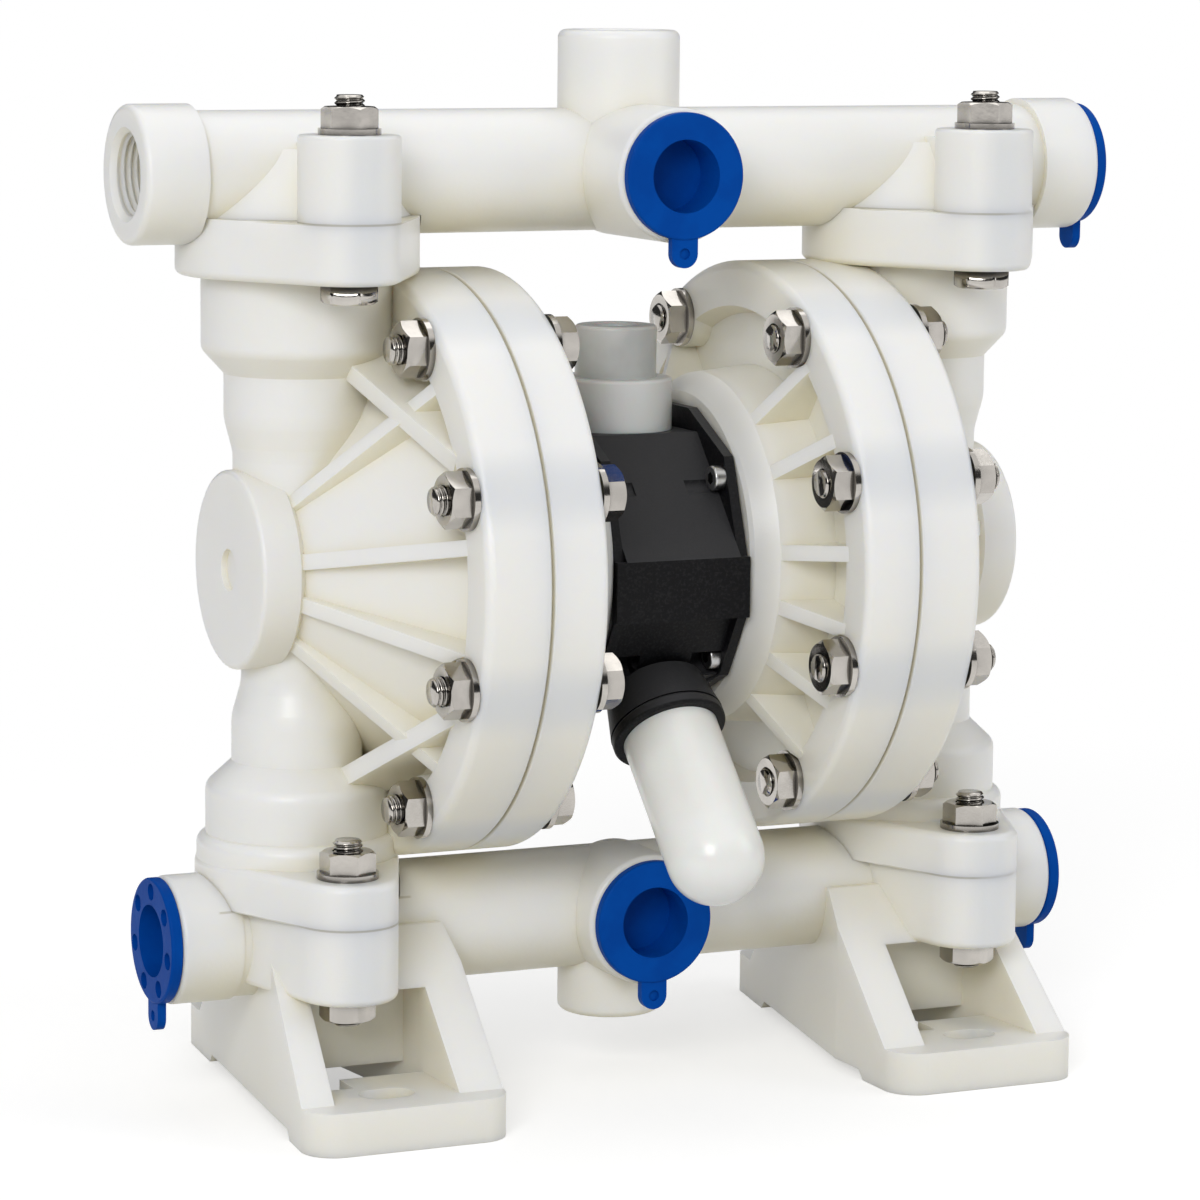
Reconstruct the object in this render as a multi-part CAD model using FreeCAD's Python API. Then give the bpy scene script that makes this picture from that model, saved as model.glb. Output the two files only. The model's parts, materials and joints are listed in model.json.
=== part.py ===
import FreeCAD, Part
import math
import os

# Air operated double diaphragm pump, half inch ports, millimetres.
# X runs along the diaphragm shaft, the front of the pump faces -Y and +Z is up.
# Everything is drawn about the chamber axis and lifted by axis_height when it is written,
# so that the soles of the feet lie in the plane Z = 0.

# General layout
axis_height = 145.0
neck_x = 93.3
upper_joint_z = 94.0
lower_joint_z = -89.5
outlet_axis_above_joint = 11.0
inlet_axis_below_joint = 9.3

# Small clearances
slip = 0.05
joint_gap = 0.3
edge_break = 0.8

# Chamber halves
parting_x = 53.5
cover_flange_r = 79.0
fluid_flange_t = 18.4
air_flange_t = 16.1
flange_edge_fillet = 2.4
fluid_rim_w = 14.5
air_rim_w = 13.0
fluid_pocket_depth = 9.0
hub_face_x = 112.8
hub_r = 26.6
hub_rim_t = 12.5
hub_dimple_r = 5.6
hub_dimple_depth = 1.6
chamber_lip = 1.0
chamber_end_x = 88.0
chamber_end_r = 17.0

# Ribs of the covers, angles in degrees above (+) and below (-) the horizontal plane
rib_t = 4.2
fluid_rib_angles = (10.5, 50.0, -15.5, -47.0)
air_rib_angles = (4.8, 31.0, 52.0, -13.0, -32.0, -52.0)
rib_root_r = 20.0
gusset_t = 5.2
gusset_inner = (13.0, 57.5)
gusset_outer = (57.0, 32.5)

# Neck column of a fluid cover, upper half and lower half
upper_waist_r = 17.2
lower_waist_r = 15.0
upper_neck_r = 19.6
lower_neck_r = 17.6
neck_waist_z = 31.0
neck_taper_z = 40.0
neck_blend_r = 14.0
neck_shoulder_z = 52.0
upper_housing_r = 25.6
lower_housing_r = 24.6
shoulder_h = 6.5
upper_plate_t = 15.8
upper_plate_r = 32.4
lower_plate_t = 11.8
lower_plate_r = 27.5
lower_collar_r = 27.0
lower_collar_h = 18.0
ear_y = 37.0
ear_r = 13.4
plate_edge_fillet = 2.0

# Air cover
air_seat_x = 20.3
air_seat_r = 44.5
air_crest_x = 27.0
air_crest_r = 48.5
air_pocket_x = 43.0
air_chamber_floor_x = 36.0
air_chamber_floor_r = 28.0

# Diaphragm and its clamp
diaphragm_t = 3.0
diaphragm_inset = 10.5
bead_w = 5.0
web_t = 2.6
web_sag = 3.2
clamp_plate_r = 22.0
inner_plate_t = 4.8
outer_plate_t = 7.0
shaft_r = 8.0
shaft_stud_r = 5.0
shaft_stud_tip = 4.6
stroke = 7.0

# Trip rod that the inner plates push at the end of each stroke
trip_r = 3.0
trip_z = -17.0
trip_travel = 3.0

# Centre block
block_half_w = 19.7
block_flange_t = 2.8
block_top_z = 34.0
block_top_half_y = 17.0
chest_y = 45.0
chest_top_z = 3.0
chest_bottom_z = -13.5
chest_step = 5.5
block_low_y = 31.0
block_low_z = -31.0
block_bottom_z = -34.0
block_back_y = 38.0
flange_outline = ((11.0, 40.0), (33.5, 29.0), (43.0, 3.0), (43.0, -14.0), (32.5, -31.0), (13.0, -40.0))
block_screw_up = (32.0, 23.0)
block_screw_low = (30.5, -26.0)
block_screw_shank_r = 1.9
block_screw_head_r = 3.4
block_screw_head_h = 3.2
block_screw_depth = 9.0
gasket_rim = 1.2
feed_gallery_z = 17.0
feed_gallery_r = 4.0
feed_drop_r = 3.4
exhaust_gallery_r = 5.0

# Valve spool in its sleeve
valve_y = -30.0
valve_z = -5.0
sleeve_r = 9.4
sleeve_bore_r = 6.6
spool_land_w = 6.0
spool_waist_r = 3.8
spool_travel = 4.0
spool_end_room = 0.7
valve_cap_t = 2.8

# Shaft bushes and seals
bush_r = 11.0
bush_l = 9.0
seal_w = 2.4

# Air inlet adapter
adapter_base_r = 15.6
adapter_base_h = 14.3
adapter_top_r = 11.2
adapter_top_h = 14.2
adapter_bore_r = 6.4
adapter_stub_r = 8.0
adapter_stub_l = 8.0

# Exhaust: the socket's mouth, its axis angle below the horizontal and the muffler
socket_mouth_y = -37.7
socket_mouth_z = -45.7
exhaust_angle = 45.0
socket_lip_r = 15.8
socket_neck_r = 13.6
socket_l = 15.0
socket_lip_l = 3.5
muffler_r = 13.2
muffler_l = 39.6
muffler_wall = 2.4
muffler_seat_l = 6.0
exhaust_bore_r = 8.0

# Manifolds
outlet_pipe_r = 16.6
inlet_pipe_r = 16.7
pipe_bore_r = 8.6
outlet_port_x = 141.3
inlet_port_x = 131.6
outlet_collar_r = 18.4
inlet_collar_r = 17.3
collar_l = 17.0
port_bore_r = 10.9
port_depth = 15.0
port_mouth_r = 12.4
port_rim_fillet = 1.6
front_barrel_r = 18.0
outlet_front_y = 40.0
inlet_front_y = 26.5
top_port_r = 16.6
top_port_z = 142.6
bottom_boss_r = 14.4
bottom_boss_z = -128.8
bottom_recess_depth = 2.0
outlet_boss_h = 22.6
outlet_rear_boss_h = 11.0
inlet_boss_h = 20.5
web_half_w = 6.0
outlet_neck_r = 30.0
outlet_neck_top_r = 18.0
outlet_neck_h = 18.0
inlet_neck_r = 22.5
joint_relief_h = 40.0

# Feet, each a wide front pad and a narrower rear pad joined by two side plates
foot_front_y = 66.0
foot_rear_y = 71.0
foot_taper_y = -28.0
foot_front_inner_x = 57.0
foot_front_outer_x = 115.0
foot_rear_inner_x = 75.5
foot_rear_outer_x = 99.0
inner_wall_t = 12.5
outer_wall_t = 9.5
foot_wall_rear = 5.0
pad_t = 11.6
pad_l = 24.5
pad_tab_l = 10.0
pad_tab_shift = 6.0
crest_top_y = 19.0
crest_top_z = -96.0
crest_foot_y = 57.0
arch_y = 42.0
arch_h = 2.5
foot_corner_r = 9.0
foot_rear_corner_r = 5.0
cross_wall_y = 20.0
cross_wall_t = 5.0
cross_wall_gap = 12.0
slot_x = 87.3
slot_y = 50.0
slot_w = 10.0
slot_l = 15.0

# Valve balls, seats and cages
ball_r = 12.5
ball_lift = 6.0
cage_r = 17.4
cage_rib_t = 3.0
seat_t = 5.5
seat_bore_r = 9.5
stop_bar_t = 3.0
passage_r = 9.0
seal_ring_r = 20.2
seal_ring_cord_r = 1.2

# Fasteners
bolt_r = 4.0
bolt_hole_r = 4.4
cover_bolt_edge = 8.5
cover_bolt_angles = (20.5, 59.5)
nut_flats = 13.0
nut_h = 5.6
washer_r = 8.2
washer_t = 1.6
head_h = 5.1
stud_proud = 3.0
stud_proud_inner = 1.0
nut_chamfer = 0.7
nut_room_r = 8.3

# Port plugs
plug_disc_r = 16.9
plug_disc_t = 3.3
plug_cup_l = 9.6
plug_wall = 1.1
plug_tab_w = 7.6
plug_tab_l = 7.4
plug_tab_t = 2.4
plug_hole_r = 2.3
plug_hole_circle_r = 13.3
plug_hole_depth = 1.4
plug_hole_count = 7

# Places that follow from the sizes above
outlet_z = upper_joint_z + outlet_axis_above_joint
inlet_z = lower_joint_z - inlet_axis_below_joint
fluid_face_x = parting_x + fluid_flange_t
air_face_x = parting_x - air_flange_t
fluid_pocket_x = fluid_face_x - fluid_pocket_depth
fluid_pocket_r = cover_flange_r - fluid_rim_w
air_pocket_r = cover_flange_r - air_rim_w
cover_bolt_circle_r = cover_flange_r - cover_bolt_edge
diaphragm_r = cover_bolt_circle_r - diaphragm_inset
bead_inner_r = diaphragm_r - bead_w
chamber_r = bead_inner_r - chamber_lip
upper_plate_z = upper_joint_z - upper_plate_t
lower_plate_z = lower_joint_z + lower_plate_t
outlet_boss_z = upper_joint_z + outlet_boss_h
outlet_rear_boss_z = upper_joint_z + outlet_rear_boss_h
inlet_boss_z = lower_joint_z - inlet_boss_h
spool_half_l = block_half_w - valve_cap_t - spool_travel - spool_end_room
sole_z = -axis_height
pad_z = sole_z + pad_t
diaphragm_x = parting_x - diaphragm_t
inner_plate_x = diaphragm_x + 0.2
outer_plate_x = parting_x - 0.2
plate_back_x = inner_plate_x - inner_plate_t
upper_seat_z = neck_shoulder_z + shoulder_h + 3.0
lower_seat_z = lower_joint_z
ball_rise = math.sqrt(ball_r ** 2 - seat_bore_r ** 2) + slip
upper_ball_z = upper_seat_z + seat_t + ball_rise
lower_ball_z = lower_seat_z + seat_t + ball_rise
ball_guide_r = ball_r + joint_gap
shaft_half_l = plate_back_x
trip_half_l = plate_back_x - stroke + trip_travel - joint_gap
lower_collar_z = lower_joint_z + lower_collar_h
arch_z = sole_z + arch_h
cross_wall_z = sole_z + cross_wall_gap

X = FreeCAD.Vector(1, 0, 0)
Y = FreeCAD.Vector(0, 1, 0)
Z = FreeCAD.Vector(0, 0, 1)


def vec(x, y, z):
    return FreeCAD.Vector(x, y, z)


def rod(start, axis, radius, length):
    """A round bar from start along axis."""
    return Part.makeCylinder(radius, length, start, axis)


def cone(start, axis, radius_1, radius_2, length):
    return Part.makeCone(radius_1, radius_2, length, start, axis)


def box(x0, x1, y0, y1, z0, z1):
    return Part.makeBox(x1 - x0, y1 - y0, z1 - z0, vec(x0, y0, z0))


def join(first, *others):
    return first.fuse(list(others))


def cut(shape, *tools):
    return shape.cut(list(tools))


def prism(points, direction):
    """A flat outline swept straight along direction."""
    wire = Part.makePolygon(points + [points[0]])
    return Part.Face(wire).extrude(direction)


def turned_about_x(profile):
    """A profile of (x, radius) points turned about the chamber axis."""
    points = [vec(x, 0, r) for x, r in profile]
    face = Part.Face(Part.makePolygon(points + [points[0]]))
    return face.revolve(vec(0, 0, 0), X, 360)


def turned_about_neck(profile):
    """A profile of (radius, z) points turned about the neck's upright axis."""
    points = [vec(neck_x + r, 0, z) for r, z in profile]
    face = Part.Face(Part.makePolygon(points + [points[0]]))
    return face.revolve(vec(neck_x, 0, 0), Z, 360)


def other_side(shape):
    """The mirror image on the left half of the pump."""
    return shape.mirror(vec(0, 0, 0), X)


def at_front_angle(angle, radius):
    """Y and Z of a point at an angle above the horizontal, towards the front."""
    a = math.radians(angle)
    return -radius * math.cos(a), radius * math.sin(a)


def front_and_back(angles):
    """The angles at the front and the same heights at the back."""
    return list(angles) + [180.0 - a for a in angles]


def rounded(shape, radius, picks):
    """Fillet the edges that picks accepts."""
    edges = [e for e in shape.Edges if picks(e)]
    return shape.makeFillet(radius, edges)


def is_circle(edge, radius):
    round_edge = isinstance(edge.Curve, Part.Circle)
    return round_edge and abs(edge.Curve.Radius - radius) < 1e-6


def ear_outline(centre_r, end_r, z, height):
    """The plate of a two bolt neck joint: a round middle drawn out to an ear on each side."""
    span = ear_y
    lean = math.asin((centre_r - end_r) / span)
    dx, dy = math.cos(lean), math.sin(lean)
    mid = [vec(neck_x + centre_r * dx, centre_r * dy, z), vec(neck_x - centre_r * dx, centre_r * dy, z)]
    tip = [vec(neck_x + end_r * dx, span + end_r * dy, z), vec(neck_x - end_r * dx, span + end_r * dy, z)]
    right_up = Part.LineSegment(mid[0], tip[0]).toShape()
    back_arc = Part.Arc(tip[0], vec(neck_x, span + end_r, z), tip[1]).toShape()
    left_down = Part.LineSegment(tip[1], mid[1]).toShape()
    mid_low = [vec(p.x, -p.y, z) for p in mid]
    tip_low = [vec(p.x, -p.y, z) for p in tip]
    left_arc = Part.Arc(mid[1], vec(neck_x - centre_r, 0, z), mid_low[1]).toShape()
    left_low = Part.LineSegment(mid_low[1], tip_low[1]).toShape()
    front_arc = Part.Arc(tip_low[1], vec(neck_x, -span - end_r, z), tip_low[0]).toShape()
    right_low = Part.LineSegment(tip_low[0], mid_low[0]).toShape()
    right_arc = Part.Arc(mid_low[0], vec(neck_x + centre_r, 0, z), mid[0]).toShape()
    wire = Part.Wire([right_up, back_arc, left_down, left_arc, left_low, front_arc, right_low, right_arc])
    return Part.Face(wire).extrude(Z * height)


def ear_holes(z0, z1):
    return [rod(vec(neck_x, side * ear_y, z0), Z, bolt_hole_r, z1 - z0) for side in (-1, 1)]


def rounded_plate(centre_r, z, height, free_z):
    """The plate of a neck joint with its free face's edge rounded."""
    plate = ear_outline(centre_r, ear_r, z, height)
    return rounded(plate, plate_edge_fillet, lambda e: all(abs(v.Z - free_z) < 1e-6 for v in e.Vertexes))


def cover_bolt_places():
    angles = list(cover_bolt_angles) + [-a for a in cover_bolt_angles]
    return [at_front_angle(a, cover_bolt_circle_r) for a in front_and_back(angles)]


def cage_ribs(z0, z1):
    """Four upright ribs that guide a ball inside its housing."""
    ribs = []
    depth = cage_r + 1.0 - ball_guide_r
    for k in range(4):
        rib = box(ball_guide_r, ball_guide_r + depth, -cage_rib_t / 2, cage_rib_t / 2, z0, z1)
        rib.rotate(vec(0, 0, 0), Z, 45 + 90 * k)
        rib.translate(vec(neck_x, 0, 0))
        ribs.append(rib)
    return ribs


def stop_bars(radius, z0):
    """Two crossed bars that stop a lifted ball."""
    bars = []
    for angle in (45, 135):
        bar = box(-radius, radius, -cage_rib_t / 2, cage_rib_t / 2, z0, z0 + stop_bar_t)
        bar.rotate(vec(0, 0, 0), Z, angle)
        bar.translate(vec(neck_x, 0, 0))
        bars.append(bar)
    return bars


def radial_rib(angle, profile):
    """A flat rib on a plane through the chamber axis, from (x, radius) points."""
    points = [vec(x, -rib_t / 2, r) for x, r in profile]
    rib = prism(points, Y * rib_t)
    rib.rotate(vec(0, 0, 0), X, 90 - angle)
    return rib


def fluid_bowl():
    """The conical bowl with its flange and hub, solid."""
    profile = [
        (parting_x, 0), (parting_x, cover_flange_r - edge_break), (parting_x + edge_break, cover_flange_r),
        (fluid_face_x, cover_flange_r), (fluid_face_x, fluid_pocket_r + 1.5),
        (fluid_pocket_x, fluid_pocket_r - 1.0), (hub_face_x - hub_rim_t, hub_r - 2.5),
        (hub_face_x - hub_rim_t + 2.0, hub_r), (hub_face_x, hub_r), (hub_face_x, 0)]
    bowl = turned_about_x(profile)
    outer_edges = lambda e: is_circle(e, cover_flange_r) and e.Curve.Center.x > fluid_face_x - 1
    bowl = rounded(bowl, flange_edge_fillet, outer_edges)
    return rounded(bowl, 1.2, lambda e: is_circle(e, hub_r) and e.Curve.Center.x > hub_face_x - 1)


def half_column(waist_r, neck_r, housing_r, end_z):
    """One half of the neck column: waist, neck, shoulder and ball housing, pointing up."""
    shoulder_z = neck_shoulder_z + shoulder_h
    column = turned_about_neck([
        (0, 0), (waist_r, 0), (waist_r, neck_waist_z), (neck_r, neck_taper_z),
        (neck_r, neck_shoulder_z), (housing_r, shoulder_z), (housing_r, end_z), (0, end_z)])
    blend = lambda e: is_circle(e, neck_r) and abs(e.Curve.Center.z - neck_taper_z) < 1
    waist = lambda e: is_circle(e, waist_r) and abs(e.Curve.Center.z - neck_waist_z) < 1
    column = rounded(column, neck_blend_r, lambda e: blend(e) or waist(e))
    shoulder = lambda e: is_circle(e, housing_r) and abs(e.Curve.Center.z - shoulder_z) < 1
    return rounded(column, 0.6 * shoulder_h, shoulder)


def neck_column():
    """The upright column with its two ball housings, waisted towards the hub."""
    upper = half_column(upper_waist_r, upper_neck_r, upper_housing_r, upper_plate_z + 1)
    lower = half_column(lower_waist_r, lower_neck_r, lower_housing_r, 1 - lower_joint_z - lower_plate_t)
    collar = rod(vec(neck_x, 0, lower_plate_z - 1), Z, lower_collar_r, lower_collar_z + 1 - lower_plate_z)
    top_edge = lambda e: is_circle(e, lower_collar_r) and e.Curve.Center.z > lower_plate_z
    collar = rounded(collar, 3.0, top_edge)
    return [upper, lower.mirror(vec(0, 0, 0), Z), collar]


def gusset(side_y, side_z):
    """The slanting web between a ball housing and the flange."""
    inner = vec(0, -gusset_inner[0], gusset_inner[1])
    outer = vec(0, -gusset_outer[0], gusset_outer[1])
    along = outer - inner
    across = X.cross(along)
    across.normalize()
    half = across * (gusset_t / 2)
    foot_x = fluid_pocket_x - 2
    points = [inner - half + X * foot_x, outer - half + X * foot_x,
              outer - half + X * fluid_face_x, inner - half + X * (neck_x - 4)]
    web = prism(points, half * 2)
    if side_z < 0:
        web = web.mirror(vec(0, 0, 0), Z)
    if side_y > 0:
        web = web.mirror(vec(0, 0, 0), Y)
    return web


def fluid_ribs():
    crest = [(fluid_pocket_x - 3, fluid_pocket_r + 1), (fluid_face_x, fluid_pocket_r + 2),
             (hub_face_x - hub_rim_t + 3.0, rib_root_r + 3), (hub_face_x - hub_rim_t - 4, rib_root_r - 6)]
    ribs = [radial_rib(a, crest) for a in front_and_back(fluid_rib_angles)]
    return ribs + [gusset(sy, sz) for sy in (-1, 1) for sz in (-1, 1)]


def bolt_pads(x0, x1):
    """Pads that carry the washers where they overhang the pockets."""
    inside = rod(vec(x0 - 1, 0, 0), X, cover_flange_r - flange_edge_fillet - 1, x1 - x0 + 2)
    pads = [rod(vec(x0, y, z), X, washer_r + 0.3, x1 - x0) for y, z in cover_bolt_places()]
    return [pad.common(inside) for pad in pads]


def washer_rooms(face_x, axis):
    """Spot faces that keep the ribs clear of the washers and nuts."""
    depth = washer_t + nut_h + stud_proud + 2
    return [rod(vec(face_x, y, z), axis, washer_r + joint_gap, depth) for y, z in cover_bolt_places()]


def fluid_cover():
    """Right fluid cover: bowl, ribs, neck column, joint plates and the ball cages inside."""
    shape = join(fluid_bowl(), *neck_column(), *fluid_ribs(), *bolt_pads(fluid_pocket_x - 2, fluid_face_x),
                 rounded_plate(upper_plate_r, upper_plate_z, upper_plate_t, upper_plate_z),
                 rounded_plate(lower_plate_r, lower_joint_z, lower_plate_t, lower_plate_z))
    chamber = turned_about_x([
        (parting_x - 1, 0), (parting_x - 1, chamber_r), (parting_x + 4, chamber_r - 1),
        (chamber_end_x, chamber_end_r), (chamber_end_x + 1, 0)])
    dimple = rod(vec(hub_face_x - hub_dimple_depth, 0, 0), X, hub_dimple_r, hub_dimple_depth + 1)
    lower_top_z = lower_ball_z + ball_r + ball_lift + joint_gap
    passage = rod(vec(neck_x, 0, lower_top_z), Z, passage_r, upper_joint_z - lower_top_z)
    upper_cage = rod(vec(neck_x, 0, upper_seat_z), Z, cage_r, upper_joint_z - upper_seat_z + 1)
    lower_cage = rod(vec(neck_x, 0, lower_joint_z - 1), Z, cage_r, lower_top_z - lower_joint_z + 1 - 3)
    lower_roof = cone(vec(neck_x, 0, lower_top_z - 3), Z, cage_r, passage_r, 7)
    bolt_holes = [rod(vec(parting_x - 1, y, z), X, bolt_hole_r, fluid_flange_t + 2)
                  for y, z in cover_bolt_places()]
    shape = cut(shape, chamber, dimple, passage, upper_cage, lower_cage, lower_roof, *bolt_holes,
                *washer_rooms(fluid_face_x, X), *ear_holes(lower_joint_z - 1, lower_plate_z + 1),
                *ear_holes(upper_plate_z - 1, upper_joint_z + 1))
    guides = cage_ribs(upper_seat_z + seat_t + slip, upper_joint_z - joint_gap)
    guides += cage_ribs(lower_joint_z + seat_t + slip, lower_top_z)
    return join(shape, *guides, *stop_bars(cage_r - 3, lower_top_z))


def air_cover():
    """Right air cover: the flange, the ribbed cone towards the centre block and the air chamber."""
    profile = [
        (air_seat_x, 0), (air_seat_x, air_seat_r - 1), (air_seat_x + 1, air_seat_r),
        (air_crest_x, air_crest_r), (air_pocket_x, air_crest_r + 1.5), (air_pocket_x, air_pocket_r - 1.5),
        (air_face_x, air_pocket_r + 0.5), (air_face_x, cover_flange_r),
        (parting_x - edge_break, cover_flange_r), (parting_x, cover_flange_r - edge_break), (parting_x, 0)]
    shape = turned_about_x(profile)
    rim = lambda e: is_circle(e, cover_flange_r) and e.Curve.Center.x < air_face_x + 1
    shape = rounded(shape, flange_edge_fillet, rim)
    crest = [(air_pocket_x + 2, air_crest_r - 3), (air_crest_x, air_crest_r - 3),
             (air_crest_x, air_crest_r - 0.5), (air_face_x, air_pocket_r + 2),
             (air_pocket_x + 2, air_pocket_r + 2)]
    ribs = [radial_rib(a, crest) for a in front_and_back(air_rib_angles)]
    shape = join(shape, *ribs, *bolt_pads(air_face_x, air_pocket_x + 2))
    chamber = turned_about_x([
        (air_chamber_floor_x, 0), (air_chamber_floor_x, air_chamber_floor_r),
        (diaphragm_x - 2.5, chamber_r - 2), (diaphragm_x, chamber_r), (diaphragm_x, diaphragm_r + slip),
        (parting_x + 1, diaphragm_r + slip), (parting_x + 1, 0)])
    depth = parting_x - air_seat_x
    shaft_hole = rod(vec(air_seat_x - 1, 0, 0), X, shaft_r + 0.6, depth)
    trip_hole = rod(vec(air_seat_x - 1, 0, trip_z), X, trip_r + slip, depth)
    bolt_holes = [rod(vec(air_face_x - 1, y, z), X, bolt_hole_r, air_flange_t + 2)
                  for y, z in cover_bolt_places()]
    return cut(shape, chamber, shaft_hole, trip_hole, *bolt_holes, *washer_rooms(air_face_x, -X),
               *block_screw_holes())


def block_screw_places():
    return [(side * y, z) for y, z in (block_screw_up, block_screw_low) for side in (-1, 1)]


def block_screw_holes():
    start = air_seat_x - 1
    return [rod(vec(start, y, z), X, block_screw_shank_r + slip, block_screw_depth + 1)
            for y, z in block_screw_places()]


def diaphragm():
    """Right diaphragm: a clamped rim, one shallow convolution and a flat clamped middle."""
    rest_x = inner_plate_x
    mid_r = 0.5 * (clamp_plate_r + bead_inner_r)
    centre_r = shaft_stud_r + slip
    roll_r = 0.5 * (bead_inner_r - clamp_plate_r) - 1
    back = [vec(diaphragm_x, 0, diaphragm_r), vec(diaphragm_x, 0, bead_inner_r + 0.5),
            vec(rest_x, 0, mid_r + roll_r), vec(rest_x - web_sag, 0, mid_r), vec(rest_x, 0, mid_r - roll_r),
            vec(rest_x, 0, centre_r)]
    front = [vec(p.x + web_t, 0, p.z) for p in back]
    front[0].x = parting_x
    front[1].x = parting_x
    wire = Part.Wire([
        Part.LineSegment(back[0], back[1]).toShape(), Part.LineSegment(back[1], back[2]).toShape(),
        Part.Arc(back[2], back[3], back[4]).toShape(), Part.LineSegment(back[4], back[5]).toShape(),
        Part.LineSegment(back[5], front[5]).toShape(), Part.LineSegment(front[5], front[4]).toShape(),
        Part.Arc(front[4], front[3], front[2]).toShape(), Part.LineSegment(front[2], front[1]).toShape(),
        Part.LineSegment(front[1], front[0]).toShape(), Part.LineSegment(front[0], back[0]).toShape()])
    return Part.Face(wire).revolve(vec(0, 0, 0), X, 360)


def inner_plate():
    """Dished plate on the air side of the diaphragm."""
    hole = shaft_stud_r + slip
    return turned_about_x([
        (plate_back_x, hole), (plate_back_x, 0.55 * clamp_plate_r),
        (inner_plate_x - 2.2, clamp_plate_r - 1.0), (inner_plate_x - 1.2, clamp_plate_r),
        (inner_plate_x, clamp_plate_r - 0.6), (inner_plate_x, hole)])


def outer_plate():
    """Domed plate on the fluid side, tapped for the shaft's stud."""
    bore_end = outer_plate_x + shaft_stud_tip
    hole = shaft_stud_r + slip
    face = outer_plate_x + outer_plate_t
    start = outer_plate_x + web_t - diaphragm_t + 0.4
    return turned_about_x([
        (start, hole), (start, clamp_plate_r - 0.6), (start + 1.2, clamp_plate_r),
        (start + 2.4, clamp_plate_r - 0.8), (face - 0.8, 0.5 * clamp_plate_r), (face, 0.4 * clamp_plate_r),
        (face, 0), (bore_end, 0), (bore_end, hole)])


def main_shaft():
    stud_end = outer_plate_x + shaft_stud_tip - 2 * slip
    bar = rod(vec(-shaft_half_l, 0, 0), X, shaft_r, 2 * shaft_half_l)
    stud = rod(vec(-stud_end, 0, 0), X, shaft_stud_r, 2 * stud_end)
    return join(bar, stud)


def trip_rod():
    bar = rod(vec(-trip_half_l, 0, trip_z), X, trip_r, 2 * trip_half_l)
    return bar.makeChamfer(0.5, [e for e in bar.Edges if is_circle(e, trip_r)])


def outline_points(x, grow):
    """Outline of the block's end flanges at a given x, grown or shrunk all round."""
    half = []
    for y, z in flange_outline:
        length = math.hypot(y, z)
        half.append((y * (1 + grow / length), z * (1 + grow / length)))
    front = [vec(x, -y, z) for y, z in half]
    back = [vec(x, y, z) for y, z in reversed(half)]
    return front + back


def exhaust_axis():
    a = math.radians(exhaust_angle)
    return vec(0, -math.cos(a), -math.sin(a))


def along_exhaust(distance):
    """A point on the exhaust axis, measured outwards from the socket's mouth."""
    return vec(0, socket_mouth_y, socket_mouth_z) + exhaust_axis() * distance


def block_body():
    """The middle of the centre block, with the valve chest standing out at the front."""
    outline = [
        (-block_top_half_y, block_top_z), (-chest_y, chest_top_z), (-chest_y, chest_bottom_z),
        (-chest_y + chest_step, chest_bottom_z), (-block_low_y, block_low_z),
        (-block_low_y + 8, block_bottom_z), (block_low_y - 8, block_bottom_z), (block_low_y, block_low_z),
        (block_back_y, chest_bottom_z), (block_back_y, chest_top_z + 8), (block_top_half_y, block_top_z)]
    inside = block_half_w - block_flange_t
    body = prism([vec(-inside, y, z) for y, z in outline], X * 2 * inside)
    chest_ends = box(-block_half_w, block_half_w, -chest_y, -chest_y + 2 * chest_step,
                     chest_bottom_z, chest_top_z)
    return [body, chest_ends]


def exhaust_socket():
    start = along_exhaust(-socket_l)
    neck = cone(start, exhaust_axis(), socket_neck_r, socket_lip_r, socket_l - socket_lip_l)
    lip = rod(along_exhaust(-socket_lip_l - slip), exhaust_axis(), socket_lip_r, socket_lip_l + slip)
    lip = rounded(lip, 1.0, lambda e: is_circle(e, socket_lip_r))
    return [neck, lip]


def centre_block():
    """The black valve body between the two air covers."""
    flange_l = prism(outline_points(-block_half_w, 0), X * block_flange_t)
    flange_r = prism(outline_points(block_half_w - block_flange_t, 0), X * block_flange_t)
    shape = join(*block_body(), flange_l, flange_r, *exhaust_socket())
    full = 2 * block_half_w + 2
    left = -block_half_w - 1
    bush_depth = bush_l + seal_w + 2 * slip
    cuts = [
        rod(vec(left, 0, 0), X, shaft_r + 0.6, full),
        rod(vec(left, 0, 0), X, bush_r + slip, bush_depth + 1),
        rod(vec(block_half_w - bush_depth, 0, 0), X, bush_r + slip, bush_depth + 1),
        rod(vec(left, 0, trip_z), X, trip_r + slip, full),
        rod(vec(left, valve_y, valve_z), X, sleeve_r + slip, full),
        rod(vec(0, 0, block_top_z - adapter_stub_l - slip), Z, adapter_stub_r + slip, adapter_stub_l + 1),
        rod(vec(0, 0, feed_gallery_z), Z, feed_gallery_r, block_top_z - feed_gallery_z),
        rod(vec(0, 0, feed_gallery_z), -Y, feed_gallery_r, -valve_y - 5),
        rod(vec(0, valve_y + 6, feed_gallery_z), -Z, feed_drop_r, feed_gallery_z - valve_z),
        rod(vec(0, valve_y + 4, valve_z), -Z, exhaust_gallery_r, -block_low_z + valve_z + 6),
        rod(along_exhaust(-socket_l - 6), exhaust_axis(), exhaust_bore_r, socket_l + 7),
        rod(along_exhaust(-muffler_seat_l - slip), exhaust_axis(), muffler_r + slip, muffler_seat_l + 2)]
    for y, z in block_screw_places():
        cuts.append(rod(vec(left, y, z), X, block_screw_shank_r + 0.2, full))
        head_space = block_screw_head_h + 6
        inside = block_half_w - block_flange_t
        cuts.append(rod(vec(inside - head_space, y, z), X, block_screw_head_r + 1.0, head_space))
        cuts.append(rod(vec(-inside, y, z), X, block_screw_head_r + 1.0, head_space))
    return cut(shape, *cuts)


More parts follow.
